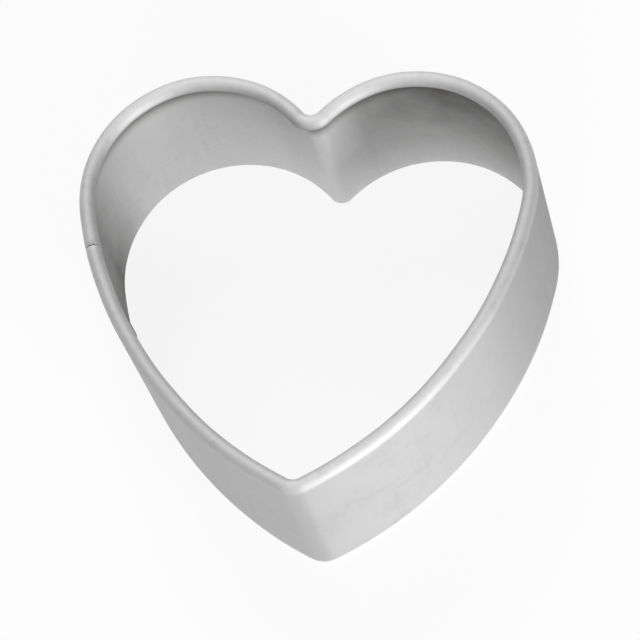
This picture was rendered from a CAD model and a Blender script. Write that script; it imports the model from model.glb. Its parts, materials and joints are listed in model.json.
"""A heart-shaped cookie cutter of satin sheet steel, standing on a pale floor."""

import json
from collections import namedtuple
from math import acos, atan2, ceil, cos, hypot, pi, radians, sin, sqrt, tau

import bmesh
import bpy
from mathutils import Matrix, Vector

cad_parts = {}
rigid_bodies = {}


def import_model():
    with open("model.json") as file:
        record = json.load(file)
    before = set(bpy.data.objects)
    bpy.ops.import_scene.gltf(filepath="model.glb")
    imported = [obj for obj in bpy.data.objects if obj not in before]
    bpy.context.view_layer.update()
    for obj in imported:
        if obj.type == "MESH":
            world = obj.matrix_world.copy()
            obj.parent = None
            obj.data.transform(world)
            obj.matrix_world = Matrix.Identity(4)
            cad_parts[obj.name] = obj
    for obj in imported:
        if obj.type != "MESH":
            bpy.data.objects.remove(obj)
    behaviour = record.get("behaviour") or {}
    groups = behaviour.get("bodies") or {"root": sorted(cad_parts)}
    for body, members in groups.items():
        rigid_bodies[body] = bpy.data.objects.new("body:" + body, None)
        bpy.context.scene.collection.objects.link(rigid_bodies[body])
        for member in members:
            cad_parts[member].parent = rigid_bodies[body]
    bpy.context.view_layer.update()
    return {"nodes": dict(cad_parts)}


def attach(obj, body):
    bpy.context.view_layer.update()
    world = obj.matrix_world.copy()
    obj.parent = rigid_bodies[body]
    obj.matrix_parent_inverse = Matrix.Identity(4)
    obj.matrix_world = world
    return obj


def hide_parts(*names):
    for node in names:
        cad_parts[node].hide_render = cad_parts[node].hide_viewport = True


for leftover in list(bpy.data.objects):
    bpy.data.objects.remove(leftover)

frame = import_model()

mm = 0.001

# Heart outline, over the strip's outer face
heart_width = 52.0 * mm
heart_length = 50.2 * mm
cleft_depth = 5.2 * mm
cleft_radius = 1.2 * mm
side_radius = 47.1 * mm
tip_radius = 3.2 * mm

# Strip, with its outer bottom corner ground off
cutter_height = 25.4 * mm
sheet = 0.35 * mm
edge_height = 0.6 * mm
edge_width = 0.15 * mm
corner_radius = 0.05 * mm

# Rim, rolled round its wire
wire_diameter = 1.0 * mm
wire_clearance = 0.03 * mm
curl_turn = radians(295)
rim_gap = 0.12 * mm

# Lapped seam on the left side
seam_distance = 4.0 * mm
step_radius = 1.0 * mm
lap_length = 8.0 * mm
lap_clearance = 0.05 * mm
slit_height = 0.2 * mm

# Spot welds through the lap, with the lip that the electrodes squeeze up
weld_count = 3
weld_radius = 1.2 * mm
weld_dimple = 0.06 * mm
weld_lip_width = 0.16 * mm
weld_lip_height = 0.02 * mm

# Fineness of the meshes
step_length = 0.7 * mm
step_angle = radians(3)
row_height = 1.8 * mm
curl_steps = 30
weld_steps = 40

# How far the bent walls stray from a true curve
waviness = 0.035 * mm

# Where the strip's own map has the inner face
inner_face = 0.5

# The curl round the wire. Distances in a section are outwards from the wall's outer face.
curl_bore = wire_diameter / 2 + wire_clearance
curl_radius = curl_bore + sheet
curl_level = cutter_height - curl_radius

# The lap's inner layer stops below the rim
lap_depth = sheet + lap_clearance
lap_top = curl_level - curl_radius - slit_height
slit_top = lap_top + slit_height

# One bend of the strip: the centre and radius of its outer face, the angle where it starts,
# and its sweep, anticlockwise or, where it is less than zero, clockwise.
Bend = namedtuple("Bend", "centre radius start sweep")


def direction(start, end):
    """The angle of the way from one point to another."""
    return atan2(end.y - start.y, end.x - start.x)


def away(centre, distance, angle):
    """The point at a distance and an angle from a centre."""
    return centre + Vector((distance * cos(angle), distance * sin(angle), 0))


def corner(beside, other, opposite):
    """The angle of a triangle's corner between two of its sides, opposite the third."""
    return acos((beside**2 + other**2 - opposite**2) / (2 * beside * other))


# Circles of the heart's right half
lobe_radius = heart_width / 2 + cleft_depth - sqrt(cleft_depth * (heart_width + 2 * cleft_radius))
lobe = Vector((heart_width / 2 - lobe_radius, heart_length / 2 - lobe_radius, 0))
cleft = Vector((0, heart_length / 2 - cleft_depth + cleft_radius, 0))
tip = Vector((0, tip_radius - heart_length / 2, 0))
to_lobe = side_radius - lobe_radius
to_tip = side_radius - tip_radius
side = away(tip, to_tip, direction(tip, lobe) + corner(to_tip, (lobe - tip).length, to_lobe))
left_lobe = Vector((-lobe.x, lobe.y, 0))
left_side = Vector((-side.x, side.y, 0))

# Angles where the bends meet
tip_end = direction(side, tip)
lobe_start = direction(side, lobe)
lobe_end = direction(lobe, cleft)
left_lobe_end = pi - lobe_start
seam = left_lobe_end + seam_distance / side_radius

# The step and the lap inside the other end
lap_radius = side_radius - lap_depth
to_first = side_radius - step_radius
to_second = lap_radius + step_radius
lap_start = seam + corner(to_first, to_second, 2 * step_radius)
step_lean = corner(to_second, 2 * step_radius, to_first)
rim_start = seam + rim_gap / side_radius
wall_start = lap_start + rim_gap / side_radius


def heart_bends():
    """The strip's bends from the outer end at the seam round to the seam again."""
    return [
        Bend(left_side, side_radius, wall_start, pi - tip_end - wall_start),
        Bend(tip, tip_radius, pi - tip_end, 2 * tip_end + pi),
        Bend(side, side_radius, tip_end, lobe_start - tip_end),
        Bend(lobe, lobe_radius, lobe_start, lobe_end - lobe_start),
        Bend(cleft, -cleft_radius, lobe_end + pi, pi - 2 * lobe_end),
        Bend(left_lobe, lobe_radius, pi - lobe_end, lobe_end - lobe_start),
        Bend(left_side, side_radius, left_lobe_end, seam - left_lobe_end),
    ]


def lap_bends():
    """The bends of the inner end, in at the seam, back, and along inside the other end."""
    first = away(left_side, to_first, seam)
    second = away(left_side, to_second, lap_start)
    return [
        Bend(first, step_radius, seam, lap_start - seam + step_lean),
        Bend(second, -step_radius, lap_start + pi + step_lean, -step_lean),
        Bend(left_side, lap_radius, lap_start, lap_length / lap_radius),
    ]


def section_points():
    """The strip's section as (outwards, up) points, from the ground outer corner up, round
    the curl to its lip, and back down the inner face. Also the places of the points at the
    lap's top and the slit's top, outside and inside."""
    rows = [edge_height]
    count = ceil((lap_top - edge_height) / row_height)
    rows += [edge_height + (lap_top - edge_height) * row / count for row in range(1, count + 1)]
    rows += [slit_top, (slit_top + curl_level) / 2]
    turns = [curl_turn * step / curl_steps for step in range(curl_steps + 1)]
    curl = lambda radius, turn: (radius * cos(turn) - curl_radius, curl_level + radius * sin(turn))
    outer = [(-edge_width, 0)] + [(0, row) for row in rows]
    inner = [(-sheet, row) for row in reversed(rows)] + [(-sheet, 0)]
    over = [curl(curl_radius, turn) for turn in turns]
    under = [curl(curl_bore, turn) for turn in reversed(turns)]
    points = outer + over + under + inner
    top = rows.index(slit_top)
    marks = (top, top + 1, len(points) - 2 - top, len(points) - 1 - top)
    return points, marks


def developed(points):
    """How far each section point lies from the bottom, along the strip's own width."""
    last_wall = min(place for place, point in enumerate(points) if point[1] >= curl_level)
    count = len(points)
    reach = [0.0]
    for before, point in zip(points, points[1:]):
        reach.append(reach[-1] + hypot(point[0] - before[0], point[1] - before[1]))
    lip = last_wall + curl_steps
    width = reach[lip]
    down = reach[-1] - reach[lip + 1]
    return [
        reach[place] if place <= lip else width * (reach[-1] - reach[place]) / down
        for place in range(count)
    ]


class Strip:
    """The strip as it is bent, ring of section points after ring."""

    def __init__(self):
        self.mesh = bmesh.new()
        self.place = self.mesh.verts.layers.int.new("place")
        self.across = self.mesh.verts.layers.float.new("across")
        self.along = self.mesh.verts.layers.float.new("along")
        self.outwards = self.mesh.verts.layers.float_vector.new("outwards")
        self.points, marks = section_points()
        self.lap_out, self.slit_out, self.slit_in, self.lap_in = marks
        self.widths = developed(self.points)
        self.length = 0.0

    def ring(self, places, angle):
        """New section points, standing at an angle round the left side."""
        ring = {}
        for place in places:
            outwards, up = self.points[place]
            vert = self.mesh.verts.new(away(left_side, side_radius + outwards, angle) + Vector((0, 0, up)))
            vert[self.place] = place
            vert[self.across] = self.widths[place]
            vert[self.along] = self.length
            vert[self.outwards] = away(Vector(), 1, angle)
            ring[place] = vert
        return ring

    def edges(self, ring):
        """The edges that join a ring's neighbouring points, all the way round."""
        places = sorted(ring)
        edges = []
        for pair in zip(places, places[1:] + places[:1]):
            ends = [ring[place] for place in pair]
            edges.append(self.mesh.edges.get(ends) or self.mesh.edges.new(ends))
        return edges

    def cap(self, ring):
        """Closes an end of the strip across a ring."""
        self.mesh.faces.new([ring[place] for place in sorted(ring)])

    def bend(self, ring, bend):
        """Carries a ring round a bend, and returns the ring that it ends as."""
        steps = max(ceil(abs(bend.sweep) / step_angle), ceil(abs(bend.radius * bend.sweep) / step_length))
        edges = self.edges(ring)
        for step in range(steps):
            turn = bend.sweep / steps
            made = bmesh.ops.spin(
                self.mesh, geom=edges, cent=bend.centre, axis=(0, 0, 1), dvec=(0, 0, 0),
                angle=turn, steps=1, use_merge=False, use_normal_flip=False, use_duplicate=False,
            )["geom_last"]
            self.length += bend.radius * turn
            outwards = away(Vector(), 1, bend.start + turn * (step + 1))
            verts = [item for item in made if isinstance(item, bmesh.types.BMVert)]
            edges = [item for item in made if isinstance(item, bmesh.types.BMEdge)]
            for vert in verts:
                vert[self.along] = self.length
                vert[self.outwards] = outwards if bend.radius > 0 else -outwards
        return {vert[self.place]: vert for vert in verts}


def bent_strip():
    """The whole strip: the rim's start over the notch, the heart, and the lap."""
    strip = Strip()
    count = len(strip.points)
    rim = range(strip.slit_out, strip.slit_in + 1)
    lower = [*range(strip.slit_out), *range(strip.slit_in + 1, count)]
    strip.length = rim_start * side_radius
    ring = strip.ring(rim, rim_start)
    strip.cap(ring)
    ring = strip.bend(ring, Bend(left_side, side_radius, rim_start, wall_start - rim_start))
    ring.update(strip.ring(lower, wall_start))
    strip.cap({place: ring[place] for place in [*lower, strip.slit_out, strip.slit_in]})
    for bend in heart_bends():
        ring = strip.bend(ring, bend)
    strip.cap({place: ring[place] for place in range(strip.lap_out, strip.lap_in + 1)})
    ring = {place: ring[place] for place in ring if place <= strip.lap_out or place >= strip.lap_in}
    for bend in lap_bends():
        ring = strip.bend(ring, bend)
    strip.cap(ring)
    return strip


def soften(mesh):
    """Takes the sharpness off a sheet's corners."""
    bmesh.ops.recalc_face_normals(mesh, faces=mesh.faces)
    sharp = [edge for edge in mesh.edges if edge.is_manifold and edge.calc_face_angle() > corner_angle]
    bmesh.ops.bevel(
        mesh, geom=sharp, offset=corner_radius, offset_type="OFFSET", segments=2,
        profile=0.5, affect="EDGES", material=-1, clamp_overlap=True,
    )


def lay_out(strip):
    """Gives the strip its own map, in metres along it and across it. The inner face lies
    beside the outer one, further along."""
    chart = strip.mesh.loops.layers.uv.new("strip")
    lip = len(strip.points) // 2
    for face in strip.mesh.faces:
        inside = all(vert[strip.place] >= lip for vert in face.verts)
        for loop in face.loops:
            along = loop.vert[strip.along] + (inner_face if inside else 0)
            loop[chart].uv = (along, loop.vert[strip.across])


def ripple(strip, perimeter):
    """Lets the walls stray a little from true, the same on both layers of the lap."""
    for vert in strip.mesh.verts:
        turn = tau * vert[strip.along] / perimeter
        height = vert.co.z / cutter_height
        wave = sin(7 * turn + 1.0) + 0.6 * sin(12 * turn + 2.5 * height) + 0.4 * sin(19 * turn + 4.0)
        vert.co += vert[strip.outwards] * waviness * wave * (0.35 + 0.65 * height * (2 - height) / 2)


def finished(name, mesh, finish):
    """An object of the cutter, made of a bmesh."""
    bmesh.ops.recalc_face_normals(mesh, faces=mesh.faces)
    data = bpy.data.meshes.new(name)
    mesh.to_mesh(data)
    mesh.free()
    data.shade_smooth()
    data.set_sharp_from_angle(angle=corner_angle)
    data.materials.append(finish)
    piece = bpy.data.objects.new(name, data)
    bpy.context.scene.collection.objects.link(piece)
    return piece


def weld_frames():
    """Where each weld runs through the lap: its middle between the faces, z outwards."""
    middle = lap_start + lap_length / lap_radius / 2
    turn = Matrix.Rotation(middle, 4, "Z") @ Matrix.Rotation(pi / 2, 4, "Y")
    foot = away(left_side, side_radius - (lap_depth + sheet) / 2, middle)
    pitch = lap_top / weld_count
    return [Matrix.Translation(foot + Vector((0, 0, pitch * (n + 0.5)))) @ turn for n in range(weld_count)]


def weld_mesh():
    """The welds: slugs through the lap, each end sunk, with a low squeezed lip round it."""
    half = (lap_depth + sheet) / 2
    lip = weld_radius + weld_lip_width
    end = [
        (0, half - weld_dimple),
        (weld_radius * 0.55, half - weld_dimple * 0.95),
        (weld_radius * 0.82, half - weld_dimple * 0.6),
        (weld_radius * 0.96, half),
        (weld_radius + weld_lip_width * 0.35, half + weld_lip_height),
        (weld_radius + weld_lip_width * 0.7, half + weld_lip_height * 0.7),
        (lip, half - weld_lip_height),
        (weld_radius * 0.99, half - weld_lip_height * 2),
    ]
    outline = end + [(radius, -height) for radius, height in reversed(end)]
    mesh = bmesh.new()
    for place in weld_frames():
        verts = [mesh.verts.new((radius, 0, height)) for radius, height in outline]
        edges = [mesh.edges.new(pair) for pair in zip(verts, verts[1:])]
        bmesh.ops.spin(
            mesh, geom=edges, cent=(0, 0, 0), axis=(0, 0, 1), dvec=(0, 0, 0),
            angle=tau, steps=weld_steps, use_merge=True, use_normal_flip=False, use_duplicate=False,
        )
        new = [vert for vert in mesh.verts if not vert.tag]
        bmesh.ops.transform(mesh, matrix=place, verts=new)
        for vert in new:
            vert.tag = True
    bmesh.ops.remove_doubles(mesh, verts=mesh.verts, dist=corner_radius / 50)
    return mesh


def pierced(piece, radius):
    """Cuts the places of the welds out of the strip."""
    rods = bmesh.new()
    for place in weld_frames():
        bmesh.ops.create_cone(
            rods, cap_ends=True, segments=weld_steps, radius1=radius, radius2=radius,
            depth=4 * lap_depth, matrix=place,
        )
    cutter = finished("weld_rods", rods, None)
    cut = piece.modifiers.new("weld_places", "BOOLEAN")
    cut.operation = "DIFFERENCE"
    cut.solver = "EXACT"
    cut.object = cutter
    graph = bpy.context.evaluated_depsgraph_get()
    data = bpy.data.meshes.new_from_object(
        piece.evaluated_get(graph), preserve_all_data_layers=True, depsgraph=graph
    )
    data.set_sharp_from_angle(angle=corner_angle)
    piece.modifiers.clear()
    piece.data = data
    bpy.data.objects.remove(cutter)


class Finish:
    """A material, built up node by node."""

    def __init__(self, name):
        self.material = bpy.data.materials.new(name)
        self.material.use_nodes = True
        self.tree = self.material.node_tree
        self.shader = self.tree.nodes["Principled BSDF"]

    def node(self, kind, inputs, **settings):
        """A node with its inputs set or joined; gives back the node."""
        made = self.tree.nodes.new("ShaderNode" + kind)
        for name, value in settings.items():
            setattr(made, name, value)
        for name, value in inputs.items():
            if isinstance(value, bpy.types.NodeSocket):
                self.tree.links.new(value, made.inputs[name])
            else:
                made.inputs[name].default_value = value
        return made

    def math(self, operation, *values, clamp=False):
        """The result of a sum of one, two or three numbers."""
        return self.node("Math", dict(enumerate(values)), operation=operation, use_clamp=clamp).outputs[0]

    def noise(self, place, stretch, detail=4.0, roughness=0.6, distortion=0.0):
        """Noise with so many cells a millimetre each way; about 0 to 1."""
        scaled = self.node("VectorMath", {0: place, 1: stretch}, operation="MULTIPLY").outputs[0]
        inputs = {"Vector": scaled, "Scale": 1.0}
        inputs.update({"Detail": detail, "Roughness": roughness, "Distortion": distortion})
        return self.node("TexNoise", inputs).outputs["Fac"]

    def between(self, value, start, end, low=0.0, high=1.0):
        """A value's way from start to end, as low to high, held at both ends."""
        inputs = {"Value": value, "From Min": start, "From Max": end, "To Min": low, "To Max": high}
        return self.node("MapRange", inputs, clamp=True).outputs[0]

    def blend(self, share, first, second):
        """A colour between two."""
        inputs = {"Factor": share, "A": first, "B": second}
        made = self.tree.nodes.new("ShaderNodeMix")
        made.data_type = "RGBA"
        for name, value in inputs.items():
            socket = next(s for s in made.inputs if s.name == name and s.enabled)
            if isinstance(value, bpy.types.NodeSocket):
                self.tree.links.new(value, socket)
            else:
                socket.default_value = value
        return next(s for s in made.outputs if s.enabled)

    def set(self, **values):
        """Sets or joins the shader's own sockets."""
        for name, value in values.items():
            socket = self.shader.inputs[name.replace("_", " ")]
            if isinstance(value, bpy.types.NodeSocket):
                self.tree.links.new(value, socket)
            else:
                socket.default_value = value

    def bump(self, height, distance, strength=1.0):
        """A bumped normal; the distance is the height of the bumps, in metres."""
        inputs = {"Height": height, "Distance": distance, "Strength": strength}
        return self.node("Bump", inputs).outputs[0]

    def in_millimetres(self, place):
        """A place in metres, in millimetres."""
        return self.node("VectorMath", {0: place, "Scale": 1 / mm}, operation="SCALE").outputs[0]

    def in_space(self):
        """The place on the object, in millimetres."""
        return self.in_millimetres(self.node("TexCoord", {}).outputs["Object"])

    def weld_distance(self, in_space):
        """How far a place is from the nearest weld's middle."""
        nearest = None
        for weld in weld_frames():
            ends = {0: in_space, 1: tuple(weld.translation / mm)}
            apart = self.node("VectorMath", ends, operation="DISTANCE").outputs["Value"]
            nearest = apart if nearest is None else self.math("MINIMUM", nearest, apart)
        return nearest


def grey(value, warmth=0.0):
    """A grey, a little redder and less blue by its warmth."""
    return (value * (1 + warmth), value, value * (1 - warmth), 1.0)


def satin_steel():
    """Rolled sheet with a satin finish: grain along the strip, wipes across it, tumbling marks,
    smudges, a dull film, a brighter rim and ground edge, and a straw tint round the welds."""
    finish = Finish("satin_steel")
    chart = finish.node("UVMap", {}, uv_map="strip").outputs[0]
    on_strip = finish.in_millimetres(chart)
    in_space = finish.in_space()
    split = finish.node("SeparateXYZ", {0: on_strip})
    across = split.outputs[1]

    grain = finish.noise(on_strip, (0.12, 6.0, 1.0), detail=6.0, roughness=0.7)
    hairlines = finish.noise(on_strip, (0.5, 30.0, 1.0), detail=3.0)
    tumbling = finish.noise(in_space, (1.1, 1.1, 1.1), detail=6.0, roughness=0.7)
    smudges = finish.noise(in_space, (0.16, 0.16, 0.16), detail=3.0, distortion=0.8)
    grinding = finish.noise(on_strip, (14.0, 1.2, 1.0), detail=3.0)
    wipes = finish.noise(on_strip, (0.9, 0.07, 1.0), detail=4.0, distortion=0.3)
    inside = finish.between(split.outputs[0], 0.9 * inner_face / mm, inner_face / mm)
    outside = finish.math("SUBTRACT", 1.0, inside)
    ground = finish.math("MULTIPLY", finish.between(across, 0.70, 1.00, 1.0, 0.0), outside)

    # Tone: grain and tumbling marks a few hundredths up and down, broad smudges a little more
    tone = finish.math("MULTIPLY_ADD", grain, 0.14, 0.93)
    tone = finish.math("MULTIPLY", tone, finish.math("MULTIPLY_ADD", tumbling, 0.28, 0.86))
    tone = finish.math("MULTIPLY", tone, finish.math("MULTIPLY_ADD", smudges, 0.24, 0.88))
    beaded = finish.between(across, 24.2, 25.0)
    clean = finish.blend(inside, grey(OUTER_STEEL), grey(INNER_STEEL))
    clean = finish.blend(beaded, clean, grey(RIM_STEEL))
    clean = finish.blend(ground, clean, grey(EDGE_STEEL))
    tone = finish.math("MULTIPLY", tone, finish.math("MULTIPLY_ADD", wipes, 0.16, 0.92))
    base = finish.blend(tone, grey(0.0), clean)

    # Straw tint round the welds
    tint = finish.between(finish.weld_distance(in_space), 1.4, 2.2, 0.45, 0.0)
    base = finish.blend(tint, base, STRAW)

    # A dull film: on the lobes inside, thicker towards the rim and the bend on the right, on
    # the sides inside, and thinly on the outside away from the tip. The cleft's ridge is bare.
    place = finish.node("SeparateXYZ", {0: in_space})
    lobes = finish.between(place.outputs[0], -4.0, 14.0, 0.3, 1.0)
    rise = finish.between(across, 0.0, 20.0, 0.2, 0.85)
    sides = finish.between(place.outputs[1], 20.0, 10.0)
    sides = finish.math("MULTIPLY", sides, finish.between(across, 0.0, 20.0, 0.84, 0.6))
    film = finish.math("MAXIMUM", finish.math("MULTIPLY", lobes, rise), sides)
    ridge = finish.between(finish.math("ABSOLUTE", place.outputs[0]), 1.0, 4.5, 0.9, 0.0)
    film = finish.math("MULTIPLY", film, finish.math("SUBTRACT", 1.0, ridge))
    film = finish.math("MULTIPLY", film, inside)
    handled = finish.math("MULTIPLY", outside, finish.between(place.outputs[1], -8.0, 12.0, 0.0, 0.36))
    film = finish.math("MAXIMUM", film, handled)
    film = finish.math("MULTIPLY", film, finish.math("MULTIPLY_ADD", smudges, 0.4, 0.8))
    film = finish.math("MULTIPLY", film, finish.math("SUBTRACT", 1.0, beaded))
    base = finish.blend(film, base, grey(0.07, 0.05))

    # Dirt in the corner under the rim, and on the curl near its lip
    dirt = finish.math("POWER", finish.between(across, 20.3, 23.0), 1.5)
    dirt = finish.math("MULTIPLY", dirt, inside)
    dirt = finish.math("MAXIMUM", dirt, finish.between(across, 27.0, 27.9))
    dirt = finish.math("MULTIPLY", dirt, finish.between(place.outputs[1], -8.0, 14.0, 0.45, 1.0))
    base = finish.blend(finish.math("MULTIPLY", dirt, 0.8, clamp=True), base, grey(0.06, 0.08))

    rough = finish.math("MULTIPLY_ADD", grain, 0.08, 0.47)
    rough = finish.math("MULTIPLY_ADD", smudges, 0.14, rough)
    rough = finish.math("MULTIPLY_ADD", ground, -0.15, rough)
    rough = finish.math("MULTIPLY_ADD", beaded, 0.1, rough)

    relief = finish.math("MULTIPLY_ADD", hairlines, 0.4, grain)
    relief = finish.math("MULTIPLY_ADD", tumbling, 1.2, relief)
    relief = finish.math("MULTIPLY_ADD", finish.math("MULTIPLY", grinding, ground), 1.5, relief)
    finish.set(
        Base_Color=base, Metallic=1.0, Roughness=rough, Anisotropic=0.5, Anisotropic_Rotation=0.25,
        Tangent=finish.node("Tangent", {}, direction_type="UV_MAP", uv_map="strip").outputs[0],
        Normal=finish.bump(relief, 0.006 * mm, 0.6),
    )
    return finish.material


def wire_steel():
    """Drawn wire, with die lines along it."""
    finish = Finish("wire_steel")
    in_space = finish.in_space()
    lines = finish.noise(in_space, (0.3, 0.3, 25.0), detail=4.0)
    spots = finish.noise(in_space, (1.5, 1.5, 1.5), detail=4.0)
    base = finish.blend(spots, grey(0.34), grey(0.46))
    rough = finish.math("MULTIPLY_ADD", lines, 0.2, 0.3)
    finish.set(Base_Color=base, Metallic=1.0, Roughness=rough, Normal=finish.bump(lines, 0.004 * mm))
    return finish.material


def weld_steel():
    """Spot-weld metal: dull in the electrode's print, with a heat tint towards the lip."""
    finish = Finish("weld_steel")
    in_space = finish.in_space()
    pits = finish.noise(in_space, (5.0, 5.0, 5.0), detail=5.0, roughness=0.7)
    tint = finish.between(finish.weld_distance(in_space), 0.7, 1.35)
    base = finish.blend(tint, grey(0.42), DARK_STRAW)
    base = finish.blend(finish.math("MULTIPLY", pits, 0.4), base, grey(0.25))
    rough = finish.math("MULTIPLY_ADD", pits, 0.25, 0.32)
    finish.set(Base_Color=base, Metallic=1.0, Roughness=rough, Normal=finish.bump(pits, 0.01 * mm))
    return finish.material


def paper_floor():
    """White paper, which the eye sees as white with the cutter's soft shadow on it."""
    finish = Finish("white_paper")
    finish.set(Base_Color=grey(FLOOR), Roughness=0.9, Specular_IOR_Level=0.0)
    path = finish.node("LightPath", {})
    seen = finish.math("MAXIMUM", path.outputs["Is Camera Ray"], path.outputs["Is Glossy Ray"])
    seen = finish.math("MAXIMUM", seen, path.outputs["Is Transmission Ray"])
    seen = finish.math("MULTIPLY", seen, WHITENED)
    white = finish.node("Emission", {"Color": grey(1.0), "Strength": 1.0})
    mixed = finish.node("MixShader", {0: seen, 1: finish.shader.outputs[0], 2: white.outputs[0]})
    output = finish.tree.nodes["Material Output"]
    finish.tree.links.new(mixed.outputs[0], output.inputs["Surface"])
    return finish.material


def softbox(name, azimuth, elevation, size, power):
    """A square lamp of a side in metres and a power in watts, a metre from the heart's middle
    and turned to it. Azimuth 0 is on the tip's side."""
    lamp = bpy.data.lights.new(name, "AREA")
    lamp.shape = "SQUARE"
    lamp.size = size
    lamp.energy = power
    a, e = radians(azimuth), radians(elevation)
    back = Vector((sin(a) * cos(e), -cos(a) * cos(e), sin(e)))
    thing = bpy.data.objects.new(name, lamp)
    thing.location = back * LAMP_DISTANCE
    thing.rotation_mode = "QUATERNION"
    thing.rotation_quaternion = back.to_track_quat("Z", "Y")
    thing.visible_camera = False
    bpy.context.scene.collection.objects.link(thing)


def camera():
    """The camera of the photograph: its side, height and roll round the heart, its distance,
    and the shift of its aim to its own right and up."""
    a, e, roll = radians(CAMERA_AZIMUTH), radians(CAMERA_ELEVATION), radians(CAMERA_ROLL)
    back = Vector((sin(a) * cos(e), -cos(a) * cos(e), sin(e)))
    right = Vector((cos(a), sin(a), 0))
    up = back.cross(right)
    turned_right = right * cos(roll) + up * sin(roll)
    turned_up = up * cos(roll) - right * sin(roll)
    data = bpy.data.cameras.new("camera")
    data.sensor_width = 36.0
    data.lens = CAMERA_SCALE * CAMERA_DISTANCE * data.sensor_width / IMAGE_WIDTH
    data.clip_start, data.clip_end = 0.01, 10.0
    thing = bpy.data.objects.new("camera", data)
    axes = Matrix((turned_right, turned_up, back)).transposed().to_4x4()
    place = back * CAMERA_DISTANCE + turned_right * CAMERA_RIGHT + turned_up * CAMERA_UP
    thing.matrix_world = Matrix.Translation(place) @ axes
    bpy.context.scene.collection.objects.link(thing)
    bpy.context.scene.camera = thing


# Edges that turn more than this are sharp
corner_angle = radians(35)

# Brightness of the clean steel: outside, inside, on the rim and on the ground edge
OUTER_STEEL = 0.55
INNER_STEEL = 0.76
RIM_STEEL = 0.68
EDGE_STEEL = 0.95

# Heat tints of the welds
STRAW = (0.42, 0.36, 0.27, 1.0)
DARK_STRAW = (0.40, 0.34, 0.26, 1.0)

# The floor's brightness, and how far the eye and the steel see it whitened
FLOOR = 0.9
WHITENED = 0.88
FLOOR_REACH = 3.0

LAMP_DISTANCE = 1.0
WORLD_LIGHT = 0.2

# The photograph's frame and camera; the scale is in pixels a metre at the heart
IMAGE_WIDTH = 640
CAMERA_AZIMUTH = 23.51
CAMERA_ELEVATION = 67.04
CAMERA_ROLL = -22.55
CAMERA_DISTANCE = 0.45
CAMERA_RIGHT = -1.74 * mm
CAMERA_UP = 4.438 * mm
CAMERA_SCALE = 8.577 / mm

strip = bent_strip()
perimeter = strip.length - (lap_start - seam) * side_radius - lap_length - rim_start * side_radius + rim_gap
lay_out(strip)
ripple(strip, perimeter)
soften(strip.mesh)
steel = satin_steel()
band = finished("heart_band", strip.mesh, steel)
pierced(band, weld_radius)
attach(band, "root")
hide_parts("band")

welds = finished("spot_welds", weld_mesh(), weld_steel())
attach(welds, "root")
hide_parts("seam_welds")

wire = frame["nodes"]["rim_wire"]
wire.data.materials.clear()
wire.data.materials.append(wire_steel())

floor_mesh = bmesh.new()
bmesh.ops.create_grid(floor_mesh, x_segments=1, y_segments=1, size=FLOOR_REACH)
floor = finished("floor", floor_mesh, paper_floor())

world = bpy.data.worlds.new("studio")
world.use_nodes = True
world.node_tree.nodes["Background"].inputs["Color"].default_value = grey(1.0)
world.node_tree.nodes["Background"].inputs["Strength"].default_value = WORLD_LIGHT
bpy.context.scene.world = world

softbox("top_softbox", azimuth=0, elevation=78, size=1.0, power=1.6)
softbox("back_softbox", azimuth=195, elevation=50, size=0.5, power=4.4)
softbox("right_softbox", azimuth=46, elevation=16, size=0.55, power=8.0)
softbox("front_softbox", azimuth=345, elevation=35, size=0.5, power=2.0)
camera()

bpy.context.scene.view_settings.view_transform = "Standard"
